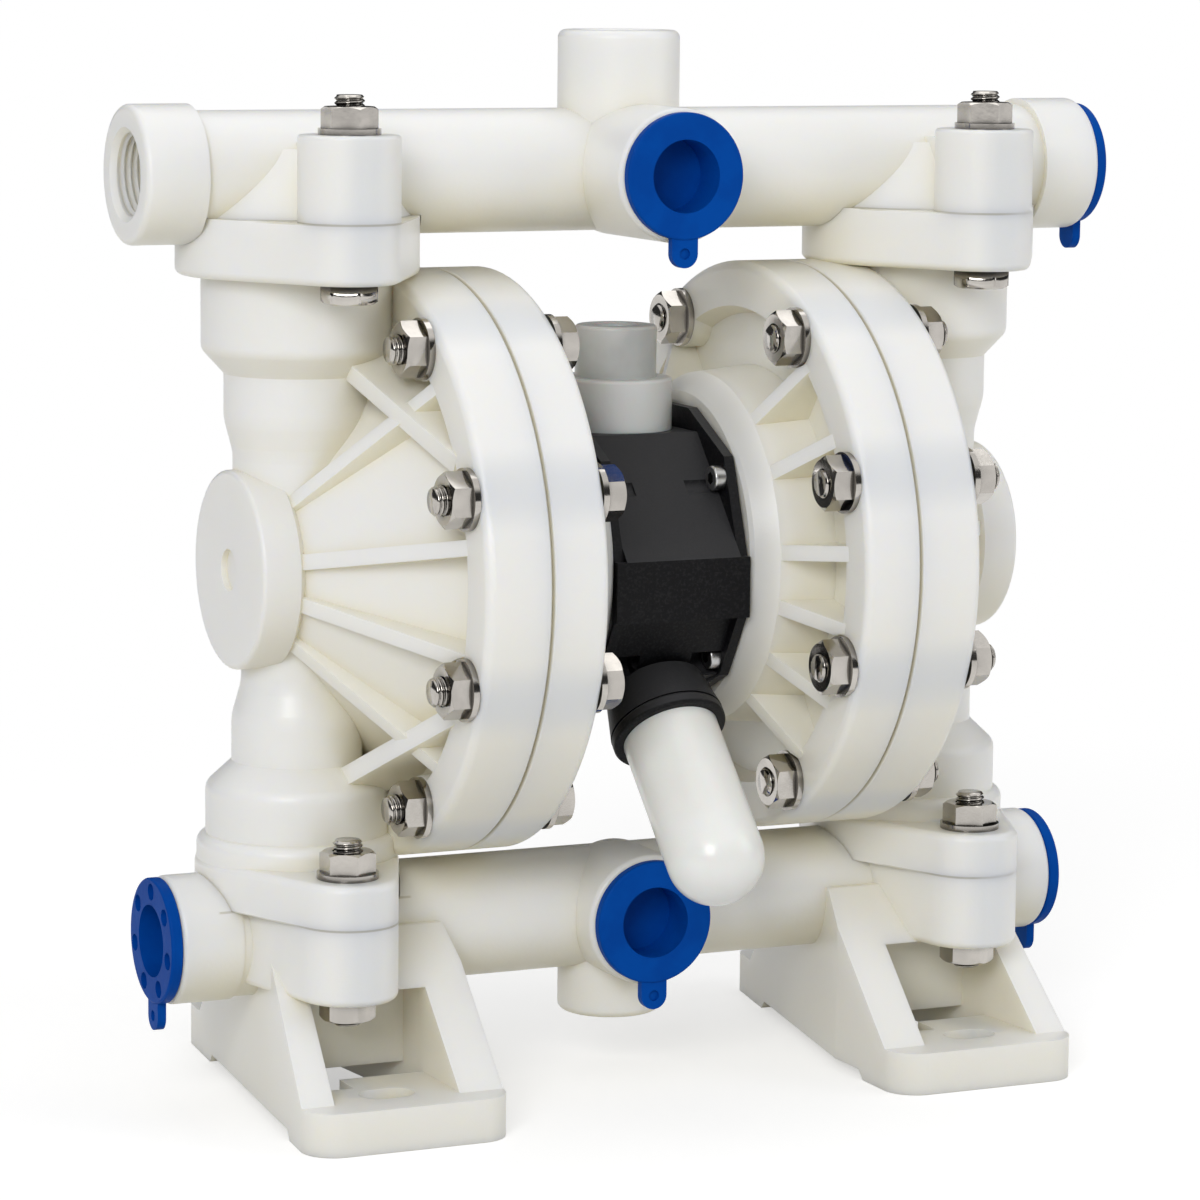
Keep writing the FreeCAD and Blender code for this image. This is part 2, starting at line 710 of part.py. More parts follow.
def block_screws():
    """Eight screws that clamp the block's end flanges to the air covers, heads inwards."""
    screws = []
    inside = block_half_w - block_flange_t
    for y, z in block_screw_places():
        head = rod(vec(inside - block_screw_head_h, y, z), X, block_screw_head_r, block_screw_head_h)
        head = rounded(head, 0.6, lambda e: e.Vertexes[0].X < inside - 1)
        shank_l = air_seat_x + block_screw_depth - 0.5 - inside
        shank = rod(vec(inside, y, z), X, block_screw_shank_r, shank_l)
        socket = hexagon(vec(inside - block_screw_head_h, y, z), X, 3.0, 1.6)
        right = cut(join(head, shank), socket)
        screws += [right, other_side(right)]
    return Part.makeCompound(screws)


def gasket():
    """Right gasket between the block and its air cover."""
    thick = air_seat_x - block_half_w
    sheet = prism(outline_points(block_half_w, -gasket_rim), X * thick)
    holes = [rod(vec(block_half_w - 1, 0, 0), X, shaft_r + 1.5, thick + 2),
             rod(vec(block_half_w - 1, 0, trip_z), X, trip_r + 1.0, thick + 2)]
    holes += [rod(vec(block_half_w - 1, y, z), X, block_screw_shank_r + 0.4, thick + 2)
              for y, z in block_screw_places()]
    return cut(sheet, *holes)


def ring(start, axis, outer_r, inner_r, length):
    back = start - axis
    return cut(rod(start, axis, outer_r, length), rod(back, axis, inner_r, length + 2))


def shaft_bushes():
    start = block_half_w - bush_l - seal_w
    bush = ring(vec(start, 0, 0), X, bush_r, shaft_r + slip, bush_l - slip)
    return Part.makeCompound([bush, other_side(bush)])


def shaft_seals():
    seal = ring(vec(block_half_w - seal_w, 0, 0), X, bush_r, shaft_r + slip, seal_w - slip)
    return Part.makeCompound([seal, other_side(seal)])


def valve_sleeve():
    """The liner of the spool, with three rings of ports."""
    half = block_half_w - valve_cap_t - slip
    liner = ring(vec(-half, valve_y, valve_z), X, sleeve_r, sleeve_bore_r, 2 * half)
    pitch = spool_half_l - spool_land_w / 2
    ports = []
    for x in (-pitch, 0, pitch):
        groove = ring(vec(x - 1.6, valve_y, valve_z), X, sleeve_r + 1, sleeve_r - 1.2, 3.2)
        cross_z = rod(vec(x, valve_y, valve_z - 2 * sleeve_r), Z, 1.3, 4 * sleeve_r)
        cross_y = rod(vec(x, valve_y - 2 * sleeve_r, valve_z), Y, 1.3, 4 * sleeve_r)
        ports += [groove, cross_z, cross_y]
    return cut(liner, *ports)


def valve_spool():
    """Three lands on a thin waist."""
    waist = rod(vec(-spool_half_l, valve_y, valve_z), X, spool_waist_r, 2 * spool_half_l)
    lands = []
    for x in (-spool_half_l, -spool_land_w / 2, spool_half_l - spool_land_w):
        lands.append(rod(vec(x, valve_y, valve_z), X, sleeve_bore_r - slip, spool_land_w))
    return join(waist, *lands)


def valve_caps():
    cap = rod(vec(block_half_w - valve_cap_t, valve_y, valve_z), X, sleeve_r, valve_cap_t - slip)
    recess = rod(vec(block_half_w - 1.2, valve_y, valve_z), X, sleeve_r - 3, 2)
    cap = cut(cap, recess)
    return Part.makeCompound([cap, other_side(cap)])


def air_inlet_adapter():
    """Two tier threaded adapter on top of the centre block."""
    base = rod(vec(0, 0, block_top_z), Z, adapter_base_r, adapter_base_h)
    base = rounded(base, 1.0, lambda e: is_circle(e, adapter_base_r) and e.Curve.Center.z > block_top_z + 1)
    top = rod(vec(0, 0, block_top_z + adapter_base_h - 1), Z, adapter_top_r, adapter_top_h + 1)
    mouth = lambda e: is_circle(e, adapter_top_r) and e.Curve.Center.z > block_top_z + adapter_base_h
    top = rounded(top, 1.0, mouth)
    stub = rod(vec(0, 0, block_top_z - adapter_stub_l), Z, adapter_stub_r, adapter_stub_l + 1)
    length = adapter_stub_l + adapter_base_h + adapter_top_h
    bore = rod(vec(0, 0, block_top_z - adapter_stub_l - 1), Z, adapter_bore_r, length + 2)
    return cut(join(base, top, stub), bore)


def muffler():
    """Hollow round ended capsule that fits the exhaust socket."""
    start = along_exhaust(-muffler_seat_l)
    length = muffler_seat_l + muffler_l
    body = rod(start, exhaust_axis(), muffler_r, length)
    dome = Part.makeSphere(muffler_r, along_exhaust(muffler_l))
    inner_r = muffler_r - muffler_wall
    hollow = rod(along_exhaust(-muffler_seat_l - 1), exhaust_axis(), inner_r, length + 1)
    hollow_dome = Part.makeSphere(inner_r, along_exhaust(muffler_l))
    return cut(join(body, dome), join(hollow, hollow_dome))


def port_end(x, z, collar_r):
    """Right hand collar of a manifold's pipe with a rounded mouth."""
    collar = rod(vec(x - collar_l, 0, z), X, collar_r, collar_l)
    return rounded(collar, port_rim_fillet, lambda e: is_circle(e, collar_r) and e.Curve.Center.x > x - 1)


def port_cuts(mouth, axis):
    """The counterbore of a port with its chamfered mouth, from the mouth inwards."""
    chamfer = port_mouth_r - port_bore_r
    bore = rod(mouth - axis * port_depth, axis, port_bore_r, port_depth + 1)
    return join(bore, cone(mouth - axis * chamfer, axis, port_bore_r, port_mouth_r, chamfer))


def joint_relief(centre_r, base):
    """Room that a manifold leaves for the flat plate of the cover's neck."""
    right = ear_outline(centre_r + joint_gap, ear_r + joint_gap, base, joint_relief_h)
    return [right, other_side(right)]


def outlet_bosses():
    """Bolt bosses, a tall one at the front, their webs and the flared neck on the right."""
    parts = []
    for side, height in ((-1, outlet_boss_h), (1, outlet_rear_boss_h)):
        boss = rod(vec(neck_x, side * ear_y, upper_joint_z), Z, ear_r, height)
        boss = rounded(boss, 1.0, lambda e: is_circle(e, ear_r) and e.Curve.Center.z > upper_joint_z + 1)
        y0, y1 = sorted((0, side * ear_y))
        web_top = upper_joint_z + height - 3
        web = box(neck_x - web_half_w, neck_x + web_half_w, y0, y1, upper_joint_z, web_top)
        parts += [boss, web]
    parts.append(cone(vec(neck_x, 0, upper_joint_z), Z, outlet_neck_r, outlet_neck_top_r, outlet_neck_h))
    return parts


def outlet_manifold():
    """Upper manifold: the pipe, its collars, the top and front ports and the two flared necks."""
    z = outlet_z
    inner = outlet_port_x - collar_l + 0.5
    pipe = rod(vec(-inner, 0, z), X, outlet_pipe_r, 2 * inner)
    collar = port_end(outlet_port_x, z, outlet_collar_r)
    top = rod(vec(0, 0, z), Z, top_port_r, top_port_z - z)
    top = rounded(top, 2.2, lambda e: is_circle(e, top_port_r) and e.Curve.Center.z > top_port_z - 1)
    front = rod(vec(0, 0, z), -Y, front_barrel_r, outlet_front_y)
    front_rim = lambda e: is_circle(e, front_barrel_r) and e.Curve.Center.y < -1
    front = rounded(front, port_rim_fillet, front_rim)
    bosses = outlet_bosses()
    shape = join(pipe, collar, other_side(collar), top, front, *bosses, *[other_side(b) for b in bosses])
    neck_bore = rod(vec(neck_x, 0, upper_joint_z - 1), Z, pipe_bore_r + 1, outlet_axis_above_joint + 1)
    boss_holes = ear_holes(upper_joint_z - 1, outlet_boss_z + 1)
    cuts = [
        rod(vec(-outlet_port_x - 1, 0, z), X, pipe_bore_r, 2 * outlet_port_x + 2),
        port_cuts(vec(outlet_port_x, 0, z), X), port_cuts(vec(-outlet_port_x, 0, z), -X),
        port_cuts(vec(0, 0, top_port_z), Z), rod(vec(0, 0, z), Z, pipe_bore_r - 1, top_port_z - z),
        port_cuts(vec(0, -outlet_front_y, z), -Y), rod(vec(0, 0, z), -Y, pipe_bore_r - 1, outlet_front_y),
        neck_bore, other_side(neck_bore)]
    cuts += joint_relief(upper_plate_r, upper_joint_z - joint_relief_h)
    cuts += boss_holes + [other_side(h) for h in boss_holes]
    shape = cut(shape, *cuts)
    bars = stop_bars(pipe_bore_r + 2, upper_joint_z + joint_gap)
    return join(shape, *bars, *[other_side(b) for b in bars])


def foot_plan(inner_wall, outer_wall, rear_wall, z0, z1):
    """The foot's plan, tapering to the rear, shrunk by its walls."""
    front_in = foot_front_inner_x + inner_wall
    front_out = foot_front_outer_x - outer_wall
    rear_in = foot_rear_inner_x + rear_wall
    rear_out = foot_rear_outer_x - rear_wall
    points = [vec(front_in, -foot_front_y, z0), vec(front_out, -foot_front_y, z0),
              vec(rear_out, foot_rear_y, z0), vec(rear_in, foot_rear_y, z0),
              vec(front_in, foot_taper_y, z0)]
    return prism(points, Z * (z1 - z0))


def foot_side():
    """The foot's side view: a pad at each end, a slanting crest and a shallow arch below."""
    f, r = -foot_front_y, foot_rear_y
    outline = [
        (f, sole_z), (f, pad_z), (-crest_foot_y, pad_z), (-crest_top_y, crest_top_z),
        (crest_top_y, crest_top_z), (crest_foot_y, pad_z), (r, pad_z), (r, sole_z),
        (arch_y + arch_h, sole_z), (arch_y, arch_z), (-arch_y, arch_z), (-arch_y - arch_h, sole_z)]
    start = foot_front_inner_x - 1
    width = foot_front_outer_x - foot_front_inner_x + 2
    return prism([vec(start, y, z) for y, z in outline], X * width)


def slots(z0, z1):
    """The right foot's two fixing slots, long along X."""
    cuts = []
    half = (slot_l - slot_w) / 2
    for y in (-slot_y, slot_y):
        ends = [rod(vec(slot_x + s * half, y, z0), Z, slot_w / 2, z1 - z0) for s in (-1, 1)]
        cuts += ends + [box(slot_x - half, slot_x + half, y - slot_w / 2, y + slot_w / 2, z0, z1)]
    return cuts


def foot():
    """Right foot: two side plates that merge into the manifold, two cross walls and two pads."""
    shape = foot_side().common(foot_plan(0, 0, 0, sole_z, crest_top_z))
    upright = lambda e, y: all(abs(v.Y - y) < 0.1 for v in e.Vertexes) and abs(e.Length - pad_t) < 0.1
    shape = rounded(shape, foot_corner_r, lambda e: upright(e, -foot_front_y))
    shape = rounded(shape, foot_rear_corner_r, lambda e: upright(e, foot_rear_y))
    clear_top = inlet_boss_z
    window = foot_plan(inner_wall_t, outer_wall_t, foot_wall_rear, pad_z, clear_top)
    floor_gap = foot_plan(inner_wall_t, outer_wall_t, foot_wall_rear, sole_z - 1, clear_top)
    between_pads = box(0, 2 * foot_front_outer_x, pad_l - foot_front_y, foot_rear_y - pad_l,
                       sole_z - 1, clear_top)
    inside = foot_plan(inner_wall_t - 1, outer_wall_t - 1, foot_wall_rear - 1, cross_wall_z, clear_top + 1)
    walls = []
    for y in (-cross_wall_y, cross_wall_y - cross_wall_t):
        wall = box(foot_front_inner_x, foot_front_outer_x, y, y + cross_wall_t, cross_wall_z, clear_top + 1)
        walls.append(wall.common(inside))
    return join(cut(shape, window, floor_gap.common(between_pads)), *walls)


def pad_tab(side):
    """The tongue that lengthens a front pad round its slot, nearer one side plate."""
    start = side * slot_x - pad_tab_shift
    rear = pad_l - foot_front_y
    tab = box(start, start + foot_front_outer_x, rear - 1, rear + pad_tab_l, sole_z, pad_z)
    inside = foot_plan(inner_wall_t - 1, outer_wall_t - 1, foot_wall_rear, sole_z, pad_z)
    return tab.common(inside if side > 0 else other_side(inside))


def inlet_manifold():
    """Lower manifold with the two feet moulded on."""
    z = inlet_z
    inner = inlet_port_x - collar_l + 0.5
    pipe = rod(vec(-inner, 0, z), X, inlet_pipe_r, 2 * inner)
    collar = port_end(inlet_port_x, z, inlet_collar_r)
    front = rod(vec(0, 0, z), -Y, front_barrel_r, inlet_front_y)
    front_rim = lambda e: is_circle(e, front_barrel_r) and e.Curve.Center.y < -1
    front = rounded(front, port_rim_fillet, front_rim)
    boss = rod(vec(0, 0, bottom_boss_z), Z, bottom_boss_r, z - bottom_boss_z)
    low_rim = lambda e: is_circle(e, bottom_boss_r) and e.Curve.Center.z < bottom_boss_z + 1
    boss = rounded(boss, 2.0, low_rim)
    neck = rounded_plate(inlet_neck_r, inlet_boss_z, inlet_boss_h, inlet_boss_z)
    right = join(neck, foot())
    shape = join(pipe, collar, other_side(collar), front, boss, right, other_side(right),
                 pad_tab(1), pad_tab(-1))
    neck_bore = rod(vec(neck_x, 0, z), Z, seat_bore_r, inlet_axis_below_joint + 1)
    groove = ring(vec(neck_x, 0, lower_joint_z - 2 * seal_ring_cord_r - slip), Z,
                  seal_ring_r + 1.1 * seal_ring_cord_r, seal_ring_r - 1.1 * seal_ring_cord_r,
                  2 * seal_ring_cord_r + slip + 1)
    boss_holes = ear_holes(inlet_boss_z - 1, lower_joint_z + 1)
    cuts = [
        rod(vec(-inlet_port_x - 1, 0, z), X, pipe_bore_r, 2 * inlet_port_x + 2),
        port_cuts(vec(inlet_port_x, 0, z), X), port_cuts(vec(-inlet_port_x, 0, z), -X),
        port_cuts(vec(0, -inlet_front_y, z), -Y), rod(vec(0, 0, z), -Y, pipe_bore_r - 1, inlet_front_y),
        rod(vec(0, 0, bottom_boss_z - 1), Z, bottom_boss_r - 4, bottom_recess_depth + 1),
        neck_bore, other_side(neck_bore), groove, other_side(groove)]
    cuts += joint_relief(lower_plate_r, lower_joint_z)
    foot_slots = slots(sole_z - 1, pad_z + 1)
    foot_slots += [rod(vec(neck_x, y, inlet_boss_z - 12), Z, nut_room_r, 12) for y in (-ear_y, ear_y)]
    cuts += boss_holes + [other_side(h) for h in boss_holes]
    cuts += foot_slots + [other_side(s) for s in foot_slots]
    return cut(shape, *cuts)


def ball(z):
    return Part.makeSphere(ball_r, vec(neck_x, 0, z))


def ball_seat(z):
    """A ring that the ball closes on."""
    return ring(vec(neck_x, 0, z), Z, cage_r - slip, seat_bore_r, seat_t)


def seat_seals():
    """Cord rings in the grooves of the inlet manifold."""
    z = lower_joint_z - seal_ring_cord_r - slip
    cord = Part.makeTorus(seal_ring_r, seal_ring_cord_r, vec(neck_x, 0, z), Z)
    return Part.makeCompound([cord, other_side(cord)])


def hexagon(start, axis, flats, length):
    """A six sided bar from start along axis."""
    side = axis.cross(Z) if abs(axis.z) < 0.5 else X
    side.normalize()
    up = axis.cross(side)
    corner = flats / math.sqrt(3)
    points = []
    for k in range(6):
        a = math.radians(60 * k + 30)
        points.append(start + side * (corner * math.cos(a)) + up * (corner * math.sin(a)))
    return prism(points, axis * length)


def nut(start, axis):
    """A hexagon nut with its free face turned down to a round."""
    body = hexagon(start, axis, nut_flats, nut_h)
    corner = nut_flats / math.sqrt(3)
    drum = cut_corner(start, axis, corner, nut_h)
    return cut(body.common(drum), rod(start - axis, axis, bolt_r + slip, nut_h + 2))


def cut_corner(start, axis, corner, height):
    """A drum with a chamfered end that trims the corners of a hexagon."""
    straight = rod(start, axis, corner + 0.01, height - nut_chamfer)
    foot = start + axis * (height - nut_chamfer)
    end = cone(foot, axis, corner + 0.01, corner - 1.5 * nut_chamfer, nut_chamfer)
    return join(straight, end)


def washer(start, axis):
    return ring(start, axis, washer_r, bolt_r + 0.2, washer_t)


def stud(start, end):
    """A stud with chamfered tips."""
    axis = end - start
    bar = rod(start, axis, bolt_r, axis.Length)
    return bar.makeChamfer(0.6, [e for e in bar.Edges if is_circle(e, bolt_r)])


def cover_fasteners():
    """Studs, nuts and washers round both chambers."""
    studs, nuts, washers = [], [], []
    inner_nut_x = air_face_x - washer_t
    outer_nut_x = fluid_face_x + washer_t
    for y, z in cover_bolt_places():
        tip_in = vec(inner_nut_x - nut_h - stud_proud_inner, y, z)
        tip_out = vec(outer_nut_x + nut_h + stud_proud, y, z)
        studs.append(stud(tip_in, tip_out))
        nuts += [nut(vec(inner_nut_x, y, z), -X), nut(vec(outer_nut_x, y, z), X)]
        washers += [washer(vec(air_face_x, y, z), -X), washer(vec(fluid_face_x, y, z), X)]
    return studs, nuts, washers


def manifold_fasteners():
    """Bolts through the upper ears, studs through the lower ears."""
    bolts, studs, nuts, washers = [], [], [], []
    for y, boss_z in ((-ear_y, outlet_boss_z), (ear_y, outlet_rear_boss_z)):
        washer_top = boss_z + washer_t
        shank_end = washer_top + nut_h + stud_proud
        head = hexagon(vec(neck_x, y, upper_plate_z), -Z, nut_flats, head_h)
        head = head.common(cut_corner(vec(neck_x, y, upper_plate_z), -Z, nut_flats / math.sqrt(3), head_h))
        bolts.append(join(head, stud(vec(neck_x, y, upper_plate_z - 1), vec(neck_x, y, shank_end))))
        washers.append(washer(vec(neck_x, y, boss_z), Z))
        nuts.append(nut(vec(neck_x, y, washer_top), Z))
        washers.append(washer(vec(neck_x, y, lower_plate_z), Z))
        nuts.append(nut(vec(neck_x, y, lower_plate_z + washer_t), Z))
        nuts.append(nut(vec(neck_x, y, inlet_boss_z), -Z))
        top = lower_plate_z + washer_t + nut_h + stud_proud
        studs.append(stud(vec(neck_x, y, inlet_boss_z - nut_h - stud_proud / 2), vec(neck_x, y, top)))
    return bolts, studs, nuts, washers


def both_sides(shapes):
    return Part.makeCompound(shapes + [other_side(s) for s in shapes])


def plug_at(mouth, axis, holes):
    """A push-in thread protector: disc, cup and pull tab, its disc against the port's mouth."""
    disc = rod(vec(0, 0, 0), Z, plug_disc_r, plug_disc_t)
    disc = rounded(disc, 0.7, lambda e: is_circle(e, plug_disc_r))
    cup = rod(vec(0, 0, -plug_cup_l), Z, port_bore_r - slip, plug_cup_l + 1)
    end_y = -plug_disc_r - plug_tab_l + plug_tab_w / 2
    tab = box(-plug_tab_w / 2, plug_tab_w / 2, end_y, -plug_disc_r + 2, 0.4, 0.4 + plug_tab_t)
    tab_end = rod(vec(0, end_y, 0.4), Z, plug_tab_w / 2, plug_tab_t)
    dimple = rod(vec(0, end_y, 0.4 + plug_tab_t - 0.8), Z, 1.5, 2)
    hollow_r = port_bore_r - slip - plug_wall
    hollow = rod(vec(0, 0, -plug_cup_l + plug_wall), Z, hollow_r, plug_cup_l + plug_disc_t)
    cuts = [dimple, hollow]
    for k in range(holes):
        a = math.radians(90 + 360 * k / holes)
        place = vec(plug_hole_circle_r * math.cos(a), plug_hole_circle_r * math.sin(a),
                    plug_disc_t - plug_hole_depth)
        cuts.append(rod(place, Z, plug_hole_r, plug_hole_depth + 1))
    shape = cut(join(disc, cup, tab, tab_end), *cuts)
    turn = FreeCAD.Rotation(axis.cross(Z) * -1, Z, axis, "ZYX")
    shape.Placement = FreeCAD.Placement(mouth, turn)
    return shape


def save(name, shape):
    """Lift the shape onto the floor and write it."""
    placed = shape.copy()
    placed.translate(vec(0, 0, axis_height))
    placed.exportStep(os.path.join("parts", name + ".step"))


def save_pair(name, shape):
    save("right_" + name, shape)
    save("left_" + name, other_side(shape))


def main():
    os.makedirs("parts", exist_ok=True)
    save("outlet_manifold", outlet_manifold())
    save("inlet_manifold", inlet_manifold())
    save_pair("fluid_cover", fluid_cover())
    save_pair("air_cover", air_cover())
    save("centre_block", centre_block())
    save("block_screws", block_screws())
    save_pair("block_gasket", gasket())
    save_pair("diaphragm", diaphragm())
    save_pair("inner_plate", inner_plate())
    save_pair("outer_plate", outer_plate())
    save("main_shaft", main_shaft())
    save("shaft_bushes", shaft_bushes())
    save("shaft_seals", shaft_seals())
    save("trip_rod", trip_rod())
    save("valve_sleeve", valve_sleeve())
    save("valve_spool", valve_spool())
    save("valve_caps", valve_caps())
    save("air_inlet_adapter", air_inlet_adapter())
    save("muffler", muffler())
    save_pair("outlet_seat", ball_seat(upper_seat_z))
    save_pair("inlet_seat", ball_seat(lower_seat_z))
    save_pair("outlet_ball", ball(upper_ball_z))
    save_pair("inlet_ball", ball(lower_ball_z))
    save("seat_seals", seat_seals())
    studs, nuts, washers = cover_fasteners()
    save("cover_studs", both_sides(studs))
    save("cover_nuts", both_sides(nuts))
    save("cover_washers", both_sides(washers))
    bolts, studs, nuts, washers = manifold_fasteners()
    save("outlet_bolts", both_sides(bolts))
    save("inlet_studs", both_sides(studs))
    save("manifold_nuts", both_sides(nuts))
    save("manifold_washers", both_sides(washers))
    save("outlet_front_plug", plug_at(vec(0, -outlet_front_y, outlet_z), -Y, 0))
    save("inlet_front_plug", plug_at(vec(0, -inlet_front_y, inlet_z), -Y, 0))
    save("outlet_right_plug", plug_at(vec(outlet_port_x, 0, outlet_z), X, 0))
    save("inlet_right_plug", plug_at(vec(inlet_port_x, 0, inlet_z), X, 0))
    save("inlet_left_plug", plug_at(vec(-inlet_port_x, 0, inlet_z), -X, plug_hole_count))


main()
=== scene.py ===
import bpy
import json
import math
import numpy as np
from mathutils import Matrix, Vector


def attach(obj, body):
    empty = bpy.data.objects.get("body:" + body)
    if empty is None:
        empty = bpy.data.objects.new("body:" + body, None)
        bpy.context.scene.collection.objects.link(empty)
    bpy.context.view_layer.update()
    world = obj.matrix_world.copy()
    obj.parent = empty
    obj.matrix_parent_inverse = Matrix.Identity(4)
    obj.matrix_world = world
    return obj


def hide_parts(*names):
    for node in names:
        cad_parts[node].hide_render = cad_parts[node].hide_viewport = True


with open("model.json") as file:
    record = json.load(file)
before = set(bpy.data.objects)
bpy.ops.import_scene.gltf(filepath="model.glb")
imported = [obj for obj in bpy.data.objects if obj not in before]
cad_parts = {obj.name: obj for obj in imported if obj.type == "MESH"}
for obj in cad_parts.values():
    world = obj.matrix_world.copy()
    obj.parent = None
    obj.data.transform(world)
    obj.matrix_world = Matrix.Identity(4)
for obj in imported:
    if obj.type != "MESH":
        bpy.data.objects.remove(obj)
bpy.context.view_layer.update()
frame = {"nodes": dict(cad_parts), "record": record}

# Air operated diaphragm pump: white translucent covers and manifolds, black valve block,
# stainless hardware and blue port plugs.  Metres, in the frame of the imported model.

MM = 0.001
AXIS_Z = 0.145            # height of the chamber axis
NECK_X = 0.0933           # the neck columns stand at plus and minus this
EAR_Y = 0.037             # the ears' bolts stand in front of the necks and behind them
PARTING_X = 0.0535        # where the two halves of a chamber meet
COVER_R = 0.079
BOLT_CIRCLE_R = 0.0705
BOLT_ANGLES = (20.5, 59.5)
UPPER_JOINT_Z = 0.239
LOWER_JOINT_Z = 0.0555
OUTLET_Z = 0.250
ADAPTER_STEP_Z = 0.1933   # between the two tiers of the air inlet

# Cover studs, from the middle plane outwards, and the ears' bolts and studs, from the floor up
STUD_INNER_X = 0.0292
STUD_OUTER_X = 0.0821
BOLT_SEAT_Z = 0.2232
FRONT_BOLT_TOP_Z = 0.2718
REAR_BOLT_TOP_Z = 0.2602
EAR_STUD_Z = 0.0279
EAR_STUD_L = 0.0496

# Studs and bolts of 8 mm: their cut threads and hexagon heads
BOLT_R = 0.004
BOLT_CHAMFER = 0.75 * MM
THREAD_PITCH = 1.25 * MM
THREAD_DEPTH = 0.62 * MM
NUT_END_THREAD = 4.2 * MM
COVER_STUD_BACK_THREAD = 2.2 * MM
EAR_STUD_BACK_THREAD = 2.6 * MM
HEAD_H = 5.1 * MM
HEAD_FLATS = 13 * MM
HEAD_CHAMFER_W = 1.05 * MM
HEAD_CHAMFER_H = 0.7 * MM

# Open ports: half inch at the outlet, quarter inch at the air inlet
PORT_THREAD = dict(wall_r=10.9 * MM, depth=0.85 * MM, pitch=1.8 * MM, length=12.6 * MM)
AIR_THREAD = dict(wall_r=6.4 * MM, depth=0.6 * MM, pitch=1.3 * MM, length=10.4 * MM)
RIDGE_ROOT_IN_WALL = 0.08 * MM
RIDGE_BACK_IN_WALL = 0.4 * MM

# The photograph's camera, fitted to the outlines of the chambers and pipes
CAMERA_PLACE = (-0.53761, -1.15039, 0.31355)
CAMERA_TURNS = (24.887, 8.175, 0.590)      # azimuth, downward pitch and roll, degrees
SENSOR_W = 36.0
FOCAL_PER_WIDTH = 4645.7 / 1200

# Soft lamps: name, place, side and power, all aimed at the middle of the pump
PUMP_MIDDLE = (0.0, 0.0, 0.14)
LAMPS = (
    ("key", (-1.2, -1.5, 1.0), 0.8, 17.5),
    ("fill", (1.3, -0.9, 0.7), 0.9, 5.0),
    ("top", (0.2, 0.4, 1.7), 1.2, 4.5),
)
SURROUND_LEVEL = 0.47     # of the light that the white surround gives
DUSK_LEVEL = 0.04         # of its reflections near the horizon
FLOOR_GLOW = 0.50


def rgb(red, green, blue):
    return (red, green, blue, 1.0)


def darker(color, share):
    """The colour with that share of its brightness."""
    return rgb(*[share * c for c in color])


# ---------------------------------------------------------------- camera, lights and stage


def add_camera():
    """The camera, from its place and its three turns."""
    azimuth, pitch, roll = (math.radians(turn) for turn in CAMERA_TURNS)
    level = math.cos(pitch)
    back = Vector((-math.sin(azimuth) * level, -math.cos(azimuth) * level, math.sin(pitch)))
    right = (-back).cross(Vector((0, 0, 1))).normalized()
    up = right.cross(-back)
    turned_right = right * math.cos(roll) + up * math.sin(roll)
    turned_up = up * math.cos(roll) - right * math.sin(roll)
    data = bpy.data.cameras.new("view")
    data.sensor_width = SENSOR_W
    data.lens = SENSOR_W * FOCAL_PER_WIDTH
    data.clip_start = 0.05
    data.clip_end = 100.0
    camera = bpy.data.objects.new("view", data)
    rotation = Matrix((turned_right, turned_up, back)).transposed().to_4x4()
    camera.matrix_world = Matrix.Translation(CAMERA_PLACE) @ rotation
    bpy.context.scene.collection.objects.link(camera)
    bpy.context.scene.camera = camera


def add_softbox(name, place, side, power):
    """A square lamp that faces the pump."""
    data = bpy.data.lights.new(name, "AREA")
    data.shape = "SQUARE"
    data.size = side
    data.energy = power
    lamp = bpy.data.objects.new(name, data)
    direction = Vector(PUMP_MIDDLE) - Vector(place)
    rotation = direction.to_track_quat("-Z", "Y").to_matrix().to_4x4()
    lamp.matrix_world = Matrix.Translation(place) @ rotation
    bpy.context.scene.collection.objects.link(lamp)


# ---------------------------------------------------------------- finishes


class Value:
    """A number that varies over a surface, with arithmetic that adds Math nodes."""

    def __init__(self, finish, socket):
        self.finish = finish
        self.socket = socket

    def _math(self, operation, *operands):
        inputs = dict(enumerate(operands))
        return self.finish.node("ShaderNodeMath", {"operation": operation}, inputs)

    def __add__(self, other):
        return self._math("ADD", self, other)

    def __sub__(self, other):
        return self._math("SUBTRACT", self, other)

    def __rsub__(self, other):
        return self._math("SUBTRACT", other, self)

    def __mul__(self, other):
        return self._math("MULTIPLY", self, other)

    __radd__ = __add__
    __rmul__ = __mul__

    def size(self):
        return self._math("ABSOLUTE", self)

    def power(self, exponent):
        return self._math("POWER", self, exponent)

    def larger(self, other):
        return self._math("MAXIMUM", self, other)

    def smaller(self, other):
        return self._math("MINIMUM", self, other)

    def fade(self, full, none):
        """1 where the value is at full, 0 where it is at none, smooth in between."""
        inputs = {"Value": self, "From Min": none, "From Max": full}
        settings = {"interpolation_type": "SMOOTHSTEP", "clamp": True}
        return self.finish.node("ShaderNodeMapRange", settings, inputs)


